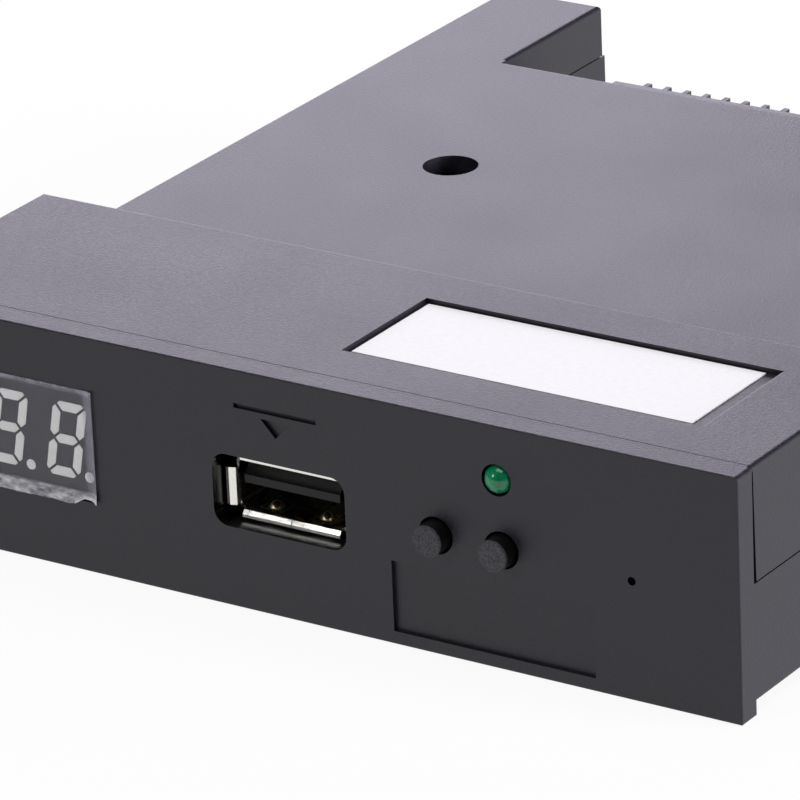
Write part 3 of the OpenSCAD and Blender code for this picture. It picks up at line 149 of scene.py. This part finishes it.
# %% [markdown]
# ## Moulded plastic
# Moulded plastic copies its mould. A spark-eroded mould leaves a matt grain, and the melt leaves a slow
# mottle. The grain could be a texture of dots, but two layers of noise give the same uneven look. All
# the plastics here share it and differ in colour, gloss and grain.

# %% Moulded plastic
FINE_SHARE = 0.8
MOTTLE_MM = 14
PLASTIC_ROUGH_SPREAD = 0.05


def moulded(name, colours, rough, grain_mm, strength, depth_mm=0.02, ior=1.5):
    """Moulded plastic: a fine grain over a slow, faint mottle."""
    material, tree, shader, where = start(name, IOR=ior)
    fine = grain(tree, where, grain_mm, 3)
    mottle = grain(tree, where, MOTTLE_MM, 1)
    slow = add(tree, "ShaderNodeMath", operation="MULTIPLY", i0=mottle, i1=1 - FINE_SHARE)
    both = add(tree, "ShaderNodeMath", operation="MULTIPLY_ADD", i0=fine, i1=FINE_SHARE, i2=slow)
    roughs = (rough - PLASTIC_ROUGH_SPREAD, rough + PLASTIC_ROUGH_SPREAD)
    dress(tree, shader, both, colours, both, roughs, fine, strength, depth_mm)
    return material


print("mottle of", MOTTLE_MM, "mm under each grain")

# %% [markdown]
# ## A second finish on part of a piece
# Some pieces have one place with another finish, such as the polished rim of a cut-out. The mesh could
# be split, but the CAD meshes stay as they are. A mask in the material does it: it is 1 inside a box,
# or inside the egg that fills the box, and there it swaps colour and roughness. The same mask also
# paints light and shade on a few places: painted shade and painted highlights.

# %% A second finish on part of a piece
def inside(tree, where, low, high, rounded):
    """1 inside a box of two corners in millimetres, or inside the egg that fills it, and 0 outside."""
    middle = [(a + b) / 2 * MM for a, b in zip(low, high)]
    half = [(b - a) / 2 * MM for a, b in zip(low, high)]
    offset = add(tree, "ShaderNodeVectorMath", operation="SUBTRACT", i0=where, i1=middle)
    share = add(tree, "ShaderNodeVectorMath", operation="DIVIDE", i0=offset, i1=half)
    if rounded:
        reach = add(tree, "ShaderNodeVectorMath", out=1, operation="LENGTH", i0=share)
    else:
        size = add(tree, "ShaderNodeVectorMath", operation="ABSOLUTE", i0=share)
        x, y, z = add(tree, "ShaderNodeSeparateXYZ", Vector=size).node.outputs
        reach = add(tree, "ShaderNodeMath", operation="MAXIMUM", i0=y, i1=z)
        reach = add(tree, "ShaderNodeMath", operation="MAXIMUM", i0=x, i1=reach)
    return add(tree, "ShaderNodeMath", operation="LESS_THAN", i0=reach, i1=1.0)


def second_finish_and_painted_light(material, low, high, colours, rough, grain_mm=0.4, rounded=False):
    """Gives the part of a finish that lies inside a box another colour and roughness."""
    tree = material.node_tree
    shader = tree.nodes["Principled BSDF"]
    where = add(tree, "ShaderNodeTexCoord", out=3)
    mask = inside(tree, where, low, high, rounded)
    share = add(tree, "ShaderNodeMapRange", Value=grain(tree, where, grain_mm), From_Min=NOISE_SPAN[0],
                From_Max=NOISE_SPAN[1])
    dark, light = (linear(code) for code in colours)
    fresh = add(tree, "ShaderNodeMix", out=2, data_type="RGBA", i0=share, i6=dark, i7=light)
    old = shader.inputs["Base Color"].links[0].from_socket
    colour = add(tree, "ShaderNodeMix", out=2, data_type="RGBA", i0=mask, i6=old, i7=fresh)
    old = shader.inputs["Roughness"].links[0].from_socket
    tree.links.new(colour, shader.inputs["Base Color"])
    tree.links.new(add(tree, "ShaderNodeMix", i0=mask, i2=old, i3=rough), shader.inputs["Roughness"])


print("masks ready")

# %% [markdown]
# ## Case
# Bezel, base and cover are injection-moulded black ABS from a spark-eroded mould. Seen head-on they are
# charcoal, and at a low angle they mirror the white room and turn pale grey. A flat black would lose
# that, so the colour is dark and the gloss is left to the shader. The real grain is about 0.1 mm wide.
# It is drawn 0.26 mm wide, so that it shows.

# %% Case
# black ABS, spark-eroded grain: gives the eye a matt charcoal with a slight violet cast and a fine sparkle
case_abs = moulded("black_abs_spark_grain", ("#0f0d18", "#1c1a29"), 0.46, 0.26, 1.0, 0.033)

# the cut-out round the port is taken to be from a polished core of the mould: it looks wet.
# Its left wall is painted almost black, as painted shade
port_low, port_high = (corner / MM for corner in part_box("usb_shell"))
RIM_SIDE, RIM_BELOW, RIM_ABOVE = 0.45, 6.9, 1.1
RIM_BEFORE, RIM_BEHIND = 1.88, 1.5
SHADED_LEFT_WALL_W = 0.9
rim_low = (port_low.x - RIM_SIDE, port_low.y - RIM_BEFORE, port_high.z - RIM_BELOW)
rim_high = (port_high.x + RIM_SIDE, port_low.y + RIM_BEHIND, port_high.z + RIM_ABOVE)
painted_shade_wall_high = (port_low.x + SHADED_LEFT_WALL_W, rim_high[1], rim_high[2])
second_finish_and_painted_light(case_abs, rim_low, rim_high, ("#111113", "#1b1b1d"), 0.36)
# painted shade: the left wall of the cut-out is painted almost black
second_finish_and_painted_light(case_abs, rim_low, painted_shade_wall_high, ("#030303", "#050505"), 0.16)
print("case finish made, cut-out", [round(b - a, 1) for a, b in zip(rim_low, rim_high)], "mm")

# %% [markdown]
# ## Buttons and connector plastics
# The buttons are turned-looking black caps with smooth sides and a coarse face that does not slip
# under a finger. The face is painted a lighter grey as painted light, and the sides darker than the
# case as painted shade. The face is the front few tenths of a millimetre, so a mask finds it by depth.
# Inside, connectors and chips are moulded too, each in the plastic that stands the heat of soldering.

# %% Buttons
FACE_DEPTH = 0.28
ROOM = Vector((1, 1, 1))
# satin ABS with painted light and shade: sides painted darker than the case as painted shade,
# and a speckled face painted lighter grey as painted light
button_abs = moulded("button_abs_painted_light_and_shade", ("#08080a", "#101012"), 0.42, 0.35, 0.8, 0.04, ior=1.4)
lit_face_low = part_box("left_button")[0] / MM
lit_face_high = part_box("right_button")[1] / MM + ROOM
lit_face_high.y = lit_face_low.y + FACE_DEPTH
# painted light: the front face is painted a lighter grey than the sides
second_finish_and_painted_light(button_abs, lit_face_low - ROOM, lit_face_high, ("#27262b", "#525157"), 0.62, 0.26)
print("button faces are", FACE_DEPTH, "mm deep")

# %% Connector and chip plastics
# liquid crystal polymer of the port's tongue: gives the eye a deep black with a soft gloss
port_lcp = moulded("black_lcp_port_block", ("#070708", "#0c0c0e"), 0.3, 0.3, 0.1, ior=1.35)
# glass-filled PBT: gives the eye a flat black that is a little grey at the edges
black_pbt = moulded("black_pbt_connector", ("#141416", "#1f1f22"), 0.42, 0.3, 0.2)
# natural nylon, undyed: gives the eye a warm, slightly waxy white
ivory_nylon = moulded("natural_nylon", ("#ddd8c8", "#ebe7da"), 0.45, 0.5, 0.15)
# dyed nylon of the shunt: gives the eye a clear mid blue that is easy to find
blue_nylon = moulded("blue_nylon", ("#22408a", "#2d4f9f"), 0.4, 0.4, 0.15)
# chip epoxy full of silica: gives the eye a dull, sandy black
chip_epoxy = moulded("chip_moulding_epoxy", ("#1b1b1d", "#29292c"), 0.6, 0.15, 0.3)
# fired ceramic: gives the eye a matt tan
ceramic = moulded("capacitor_ceramic", ("#9c8460", "#b89d74"), 0.5, 0.2, 0.2)
print("five plastics and a ceramic made")

# %% [markdown]
# ## Metals
# The port's shell is stamped from bright plated strip, header pins are gold flashed or tinned wire, and
# screws are zinc plated. Metal shows mostly what it mirrors, so what counts is how blurred the mirror
# is. Rolling leaves fine lines along the strip. They are some hundredths of a millimetre wide and are
# drawn about 0.1 mm wide, to show at all.

# %% Metals
METAL_ROUGH_SPREAD = 0.07
CLOUD_PER_LINE = 12
LINE_DEPTH_MM = 0.01


def plated(name, colours, rough, line_mm, stretch, strength):
    """Plated metal: rolling lines drawn out along one axis, and cloudy roughness."""
    material, tree, shader, where = start(name, Metallic=1.0)
    lines = grain(tree, where, line_mm, 4, stretch)
    cloud = grain(tree, where, line_mm * CLOUD_PER_LINE, 2)
    roughs = (rough - METAL_ROUGH_SPREAD, rough + METAL_ROUGH_SPREAD)
    dress(tree, shader, lines, colours, cloud, roughs, lines, strength, LINE_DEPTH_MM)
    return material


# bright nickel: gives the eye near-white flashes beside near-black, with a warm tinge
nickel = plated("bright_nickel_strip", ("#d6d3cd", "#f0ede8"), 0.16, 0.12, (1, 8, 1), 0.12)
# thin gold over nickel: gives the eye a soft pale yellow
gold = plated("gold_flash", ("#b8924a", "#d8b66a"), 0.28, 0.1, (1, 6, 1), 0.1)
# tin, drawn dark: gives the eye a dark, blurred grey
tin = plated("tinned_wire", ("#454448", "#5c5b60"), 0.5, 0.1, (1, 4, 4), 0.15)
# zinc plate: gives the eye a cool, cloudy silver
zinc = plated("zinc_plate", ("#9fa1a0", "#c2c3bf"), 0.36, 0.2, (1, 1, 1), 0.15)
# drawn aluminium: gives the eye a light grey with upright lines from the drawing die
can_aluminium = plated("drawn_aluminium_can", ("#b3b6ba", "#cdd0d3"), 0.3, 0.15, (1, 1, 8), 0.1)
print("five metals made")

# %% [markdown]
# ## Painted highlight and shade on the port's domes
# Two spring domes on the floor of the port press on a plug. The photo shows each as a dull, yellowish
# ring with a darker middle. Here the ring is a painted highlight and the middle is painted shade. The
# domes are in the CAD, so only their finish is missing: an egg-shaped mask for the painted ring, and a
# smaller one in it for the painted dark middle, shifted to the front and right to lie where the photo
# has it.

# %% Painted highlight and shade on the port's domes
DOME_X, DOME_Y, DOME_Z = 3.0, 2.1, -5.1
GLINT_RING_HALF = Vector((0.95, 0.95, 0.9))
SHADED_MIDDLE_HALF = Vector((0.35, 0.35, 0.5))
SHADED_MIDDLE_SHIFT = Vector((0.2, -0.4, 0))
for side in (-1, 1):
    dome_x = (port_low.x + port_high.x) / 2 + DOME_X * side
    dome = Vector((dome_x, port_low.y + DOME_Y, port_high.z + DOME_Z))
    shaded_middle = dome + SHADED_MIDDLE_SHIFT
    # painted highlight: a yellowish ring painted on each dome
    second_finish_and_painted_light(nickel, dome - GLINT_RING_HALF, dome + GLINT_RING_HALF, ("#b7a981", "#e0d3ac"), 0.4, 0.3, rounded=True)
    # painted shade: a darker middle painted inside each ring
    second_finish_and_painted_light(nickel, shaded_middle - SHADED_MIDDLE_HALF, shaded_middle + SHADED_MIDDLE_HALF, ("#2e2a20", "#4a4334"), 0.5, 0.3, rounded=True)
    print("dome rubbed at", [round(v, 2) for v in dome], "mm")

# %% [markdown]
# ## Circuit boards
# The boards are glass-epoxy with copper tracks under green solder mask. Tracks lift the mask a little
# and show paler through it. Routing real tracks would take a layout, and little of the boards is seen,
# so thin lines between bricks stand for tracks and small dots for the holes that join the layers.

# %% Circuit boards
TRACK_W = 0.16
TRACK_LENGTH = 7.3
TRACK_PITCH = 1.1
VIA_PITCH = 4.2
VIA_SHARE = 0.09
# epoxy solder mask: gives the eye a glossy dark green with lighter lines and dots
board_mask, tree, shader, where = start("green_solder_mask", IOR=1.5, Coat_Weight=0.3, Coat_Roughness=0.2)
in_mm = add(tree, "ShaderNodeMapping", Vector=where, Scale=[1 / MM] * 3)
tracks = add(tree, "ShaderNodeTexBrick", out=1, Vector=in_mm, Scale=1.0, Mortar_Size=TRACK_W,
             Mortar_Smooth=0.3, Brick_Width=TRACK_LENGTH, Row_Height=TRACK_PITCH)
vias = add(tree, "ShaderNodeTexVoronoi", Vector=where, Scale=1 / (VIA_PITCH * MM))
dots = add(tree, "ShaderNodeMath", operation="LESS_THAN", i0=vias, i1=VIA_SHARE)
copper = add(tree, "ShaderNodeMath", operation="MAXIMUM", i0=tracks, i1=dots)
flow = grain(tree, where, 0.6)
dress(tree, shader, copper, ("#123c26", "#2b7046"), flow, (0.25, 0.4), copper, 0.4, 0.03, FULL_SPAN)
print("board with tracks every", TRACK_PITCH, "mm")

# %% [markdown]
# ## Display
# The display's housing has a dark grey printed face, which hides the walls between segments. The
# segments are wells of milky epoxy over the light chips, and look pale when unlit. They are solids of
# their own in the CAD, so each needs only its finish. A little scattering under the surface keeps the
# epoxy from looking like paint.

# %% Display
# screen print: gives the eye an even, slightly shiny dark grey
display_print = moulded("display_face_print", ("#2a2830", "#34323a"), 0.42, 0.3, 0.1)
# milky epoxy: gives the eye a soft white with no hard edge to its light
segment_epoxy, tree, shader, where = start("milky_segment_epoxy", IOR=1.5, Subsurface_Weight=0.2,
                                           Subsurface_Scale=0.4 * MM)
milk = grain(tree, where, 0.7, 2)
dress(tree, shader, milk, ("#f8f4f2", "#fefcfb"), milk, (0.3, 0.42), milk, 0.05, 0.01)
print("display finishes made")

# %% [markdown]
# ## Film finish
# A clear polyester film protects the display until the unit is sold. Clear film shows only where it is
# bent, rubbed or dirty: here along its right rim, its top edge and the creased lower rim. Glass-like
# refraction would be slow for a sheet so thin, so the film is mostly transparent and gains cover along
# those three edges.

# %% Film finish
film_low, film_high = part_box("display_film")
BARE_COVER = 0.06
# polyester: gives the eye nothing in the middle and a bright, milky grey where the film is creased
film_sheet, tree, shader, where = start("polyester_film", IOR=1.45)
place = add(tree, "ShaderNodeSeparateXYZ", Vector=where).node.outputs
haze = grain(tree, where, 1.6, 3, (1, 1, 3))
flecks = grain(tree, where, 0.5, 4, (2.2, 1, 1))
cover = BARE_COVER
for along, begin, end, cloud, thinnest, thickest in (
        (place[0], film_high.x - 1.5 * MM, film_high.x - 0.3 * MM, haze, 0.14, 0.54),
        (place[2], film_high.z - 0.7 * MM, film_high.z - 0.1 * MM, haze, 0.1, 0.5),
        (place[2], film_low.z + 1.75 * MM, film_low.z + 1.15 * MM, flecks, 0.16, 0.62)):
    edge = add(tree, "ShaderNodeMapRange", interpolation_type="SMOOTHSTEP", Value=along, From_Min=begin,
               From_Max=end)
    milk = add(tree, "ShaderNodeMapRange", Value=cloud, From_Min=NOISE_SPAN[0], From_Max=NOISE_SPAN[1],
               To_Min=thinnest, To_Max=thickest)
    cover = add(tree, "ShaderNodeMath", operation="MULTIPLY_ADD", i0=edge, i1=milk, i2=cover)
tree.links.new(cover, shader.inputs["Alpha"])
white = add(tree, "ShaderNodeMapRange", Value=flecks, From_Min=NOISE_SPAN[0], From_Max=NOISE_SPAN[1])
creased = add(tree, "ShaderNodeMath", operation="MULTIPLY", i0=edge, i1=white)
dress(tree, shader, creased, ("#b5b3c0", "#f2f2f4"), haze, (0.2, 0.4), flecks, 0.3, 0.05, FULL_SPAN)

# torn polyester: gives the eye a frayed white edge
film_torn, tree, shader, where = start("torn_film", IOR=1.45, Alpha=0.8)
fray = grain(tree, where, 0.35, 3)
dress(tree, shader, fray, ("#d8d8da", "#fbfbfb"), fray, (0.3, 0.5), fray, 0.3, 0.05)
print("film finishes made, film", [round(v / MM, 2) for v in film_high - film_low], "mm")

# %% [markdown]
# ## Signal light and label
# The light is an LED cast in green tinted epoxy. A fully clear dome would show the dark holder behind
# it, and the real one is cloudy, so only a small share of the light goes through. The label is uncoated
# white paper. Its fibres are about 0.03 mm wide and are drawn 0.25 mm wide, to show as a faint tooth.

# %% Signal light and label
# tinted epoxy: gives the eye a glassy green bead with a sharp highlight
led_epoxy, tree, shader, where = start("green_tinted_epoxy", IOR=1.52, Transmission_Weight=0.15)
cast = grain(tree, where, 1.4, 1)
dress(tree, shader, cast, ("#067a4d", "#109864"), cast, (0.08, 0.14), cast, 0.02, 0.01)
# uncoated paper: gives the eye a soft white with no gloss
paper, tree, shader, where = start("white_label_paper", IOR=1.4)
fibres = grain(tree, where, 0.25, 4, (3, 1, 1))
dress(tree, shader, fibres, ("#efedf0", "#f5f4f6"), fibres, (0.6, 0.7), fibres, 0.08, 0.02)
print("signal light and label finishes made")

# %% [markdown]
# ## Finishes on the CAD pieces
# Every CAD node gets the finish of what it is made of. The nodes could be dressed one by one where each
# finish is made, but one table shows at a glance that none is left out.

# %% Finishes on the CAD pieces
finishes = {
    case_abs: ["base_shell", "top_cover"],
    button_abs: ["left_button", "right_button"],
    port_lcp: ["usb_insulator"],
    black_pbt: ["link_block", "led_holder", "left_switch_body", "right_switch_body", "capacitor_bases",
                "serial_block", "data_block", "jumper_block"],
    ivory_nylon: ["power_block"],
    blue_nylon: ["jumper_shunt"],
    chip_epoxy: ["display_driver", "controller_chip", "regulator", "buffer_chips", "chip_resistors"],
    ceramic: ["chip_capacitors"],
    nickel: ["usb_shell", "left_switch_plate", "right_switch_plate", "left_switch_dome",
             "right_switch_dome", "crystal_can"],
    gold: ["usb_contacts", "link_pins", "serial_pins_row", "jumper_pins"],
    tin: ["display_legs", "led_leads", "switch_legs", "controller_leads", "data_pins", "power_pins_row"],
    zinc: ["board_screws"],
    can_aluminium: ["capacitor_cans"],
    board_mask: ["main_board", "display_board"],
    display_print: ["display_housing"],
    segment_epoxy: ["display_segments"],
    film_sheet: ["display_film"],
    led_epoxy: ["led_lens"],
    paper: ["cover_label"],
}
for finish, names in finishes.items():
    for name in names:
        nodes[name].data.materials.clear()
        nodes[name].data.materials.append(finish)
print(sum(len(v) for v in finishes.values()), "nodes dressed of", len(nodes))

# %% [markdown]
# ## Protective film
# The film is cut a little larger than the display's window. Its right and lower rims have come off the
# face, and the lower right corner is torn at a slant. Cloth simulation would curl it at random, so it
# is a grid of points instead, bent by a few simple rules. A thickness modifier turns the grid into a
# sheet.

# %% Outline of the film
CREASE_H, TEAR_W, TEAR_H = 1.35, 2.7, 0.7
FLAP_W, FLAP_H = 0.8, 0.34
EDGE_H, RAGGED = 0.08, 0.07
TEAR_RUN = 0.45
film_w, film_h = (film_high.x - film_low.x) / MM, (film_high.z - film_low.z) / MM


def torn_edge(x):
    """Height of the film's lower edge in millimetres: ragged, and torn up to a slant near its right end."""
    ragged = RAGGED * noise.noise(Vector((x * 1.1, 7.7, 0.4)))
    slant = min(1.0, max(0.0, (x - film_w + TEAR_W) / TEAR_W) / TEAR_RUN)
    flap = max(0.0, 1 - (film_w - x) / FLAP_W)
    return EDGE_H + ragged + TEAR_H * slant - FLAP_H * flap


print("film of", round(film_w, 2), "by", round(film_h, 2), "mm, lower edge at", round(torn_edge(0), 2))

# %% Points and faces of the film
COLUMNS, ROWS = 96, 60
ROW_CROWDING = 1.25
LIFT_W, LIFT_RIGHT = 0.9, 0.22
LIFT_LOW, LIFT_WAVE = 0.25, 0.2
FRAY_H = 0.25
points, faces, zones = [], [], []
for j in range(ROWS + 1):
    for i in range(COLUMNS + 1):
        x, z = film_w * i / COLUMNS, film_h * (j / ROWS) ** ROW_CROWDING
        if z < CREASE_H:
            z = torn_edge(x) + z * (CREASE_H - torn_edge(x)) / CREASE_H
        from_right = max(0.0, 1 - (film_w - x) / LIFT_W)
        from_low = max(0.0, 1 - z / CREASE_H)
        wave = noise.noise(Vector((x * 0.7, z * 0.8, 3.1)))
        lift = LIFT_RIGHT * from_right ** 2 + (LIFT_LOW + LIFT_WAVE * wave) * from_low ** 2
        points.append(film_low + Vector((x, -lift, z)) * MM)
for j in range(ROWS):
    for i in range(COLUMNS):
        corner = j * (COLUMNS + 1) + i
        faces.append((corner, corner + 1, corner + COLUMNS + 2, corner + COLUMNS + 1))
        right_of = film_w * (1 - (i + 0.5) / COLUMNS)
        above = film_h * ((j + 0.5) / ROWS) ** ROW_CROWDING
        frayed = above < FRAY_H and right_of < TEAR_W
        in_flap = above < TEAR_H and right_of < FLAP_W
        zones.append(1 if frayed or in_flap else 0)
print("film of", len(faces), "faces,", sum(zones), "of them torn")

# %% Film sheet
FILM_T = 0.05
mesh = bpy.data.meshes.new("protective_film")
mesh.from_pydata(points, [], faces)
film = bpy.data.objects.new("protective_film", mesh)
bpy.context.scene.collection.objects.link(film)
for finish in (film_sheet, film_torn):
    mesh.materials.append(finish)
for face, zone in zip(mesh.polygons, zones):
    face.material_index = zone
    face.use_smooth = True
thickness = film.modifiers.new("thickness", "SOLIDIFY")
thickness.thickness = FILM_T * MM
thickness.offset = -1
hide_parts("display_film")
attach(film, "case")
print("film", FILM_T, "mm thick in place of the flat one")

# %% [markdown]
# ## Lights
# The photo was lit softly from all sides. One broad light stands low behind the part, so that its flat
# top mirrors it at a low angle and turns pale. A large one hangs above, one lights the right side, and
# a small one fills the front. Lamps with sharp edges would draw bright lines on the roundings, so all
# four are large area lights.

# %% Lights
def area(name, place, size, power, colour=(1, 1, 1)):
    """Square area light of a size in metres, turned to the part."""
    lamp = bpy.data.lights.new(name, "AREA")
    lamp.size = size
    lamp.energy = power
    lamp.color = colour
    light = bpy.data.objects.new(name, lamp)
    light.location = place
    light.rotation_euler = (-Vector(place)).to_track_quat("-Z", "Y").to_euler()
    bpy.context.scene.collection.objects.link(light)


area("back_softbox", (-0.328, 0.4125, 0.218), 0.33, 1.48, (0.9, 0.85, 1.0))
area("top_softbox", (0.1, 0.0, 1.1), 0.9, 8)
area("right_softbox", (0.95, 0.25, 0.25), 0.5, 11, (1.0, 0.95, 1.0))
area("front_fill", (-0.5, -1.0, 0.55), 0.3, 2.8)
print(len(bpy.data.lights), "soft lights")

# %% [markdown]
# ## White room and floor
# The part lies on a white paper sweep in a white room. More light would make them white, but it would
# also bleach the part. So the background is plain white only on the rays that show it, and lights the
# part at a lower level. The floor keeps a share of its own shading, so the part's shadow stays.

# %% White room
ROOM_LIGHT, ROOM_SEEN = 0.8, 1.0


def shown(tree):
    """1 on the rays that show the background: to the camera, or by way of metal and clear pieces."""
    rays = add(tree, "ShaderNodeLightPath").node.outputs
    seen = rays["Is Camera Ray"]
    for ray in ("Is Glossy Ray", "Is Transmission Ray"):
        seen = add(tree, "ShaderNodeMath", operation="MAXIMUM", i0=seen, i1=rays[ray])
    return seen


world = bpy.data.worlds.new("studio")
bpy.context.scene.world = world
world.use_nodes = True
tree = world.node_tree
level = add(tree, "ShaderNodeMix", i0=shown(tree), i2=ROOM_LIGHT, i3=ROOM_SEEN)
tree.links.new(level, tree.nodes["Background"].inputs["Strength"])
print("room lights at", ROOM_LIGHT, "and shows at", ROOM_SEEN)

# %% Paper floor
FLOOR_HALF = 4.0
FLOOR_Z = -0.05 * MM
FLOOR_WHITE = 0.92
mesh = bpy.data.meshes.new("paper_floor")
corners = [(x * FLOOR_HALF, y * FLOOR_HALF, FLOOR_Z) for x, y in ((-1, -1), (1, -1), (1, 1), (-1, 1))]
mesh.from_pydata(corners, [], [(0, 1, 2, 3)])
floor = bpy.data.objects.new("paper_floor", mesh)
bpy.context.scene.collection.objects.link(floor)
# matt paper: gives the eye an even white with a soft shadow
floor_paper, tree, shader, where = start("white_paper_sweep")
pulp = grain(tree, where, 2.0, 3)
dress(tree, shader, pulp, ("#f4f4f4", "#fafafa"), pulp, (0.8, 0.9), pulp, 0.02, 0.02, FULL_SPAN)
glow = add(tree, "ShaderNodeEmission", Strength=1.0)
share = add(tree, "ShaderNodeMath", operation="MULTIPLY", i0=shown(tree), i1=FLOOR_WHITE)
blend = add(tree, "ShaderNodeMixShader", i0=share, i1=shader.outputs[0], i2=glow)
tree.links.new(blend, tree.nodes["Material Output"].inputs["Surface"])
mesh.materials.append(floor_paper)
bpy.context.scene.view_settings.view_transform = "Standard"
print("floor of", 2 * FLOOR_HALF, "m")

# %% [markdown]
# ## End
# Dressing a part should not change its size.

# %% End
print("dressing done")
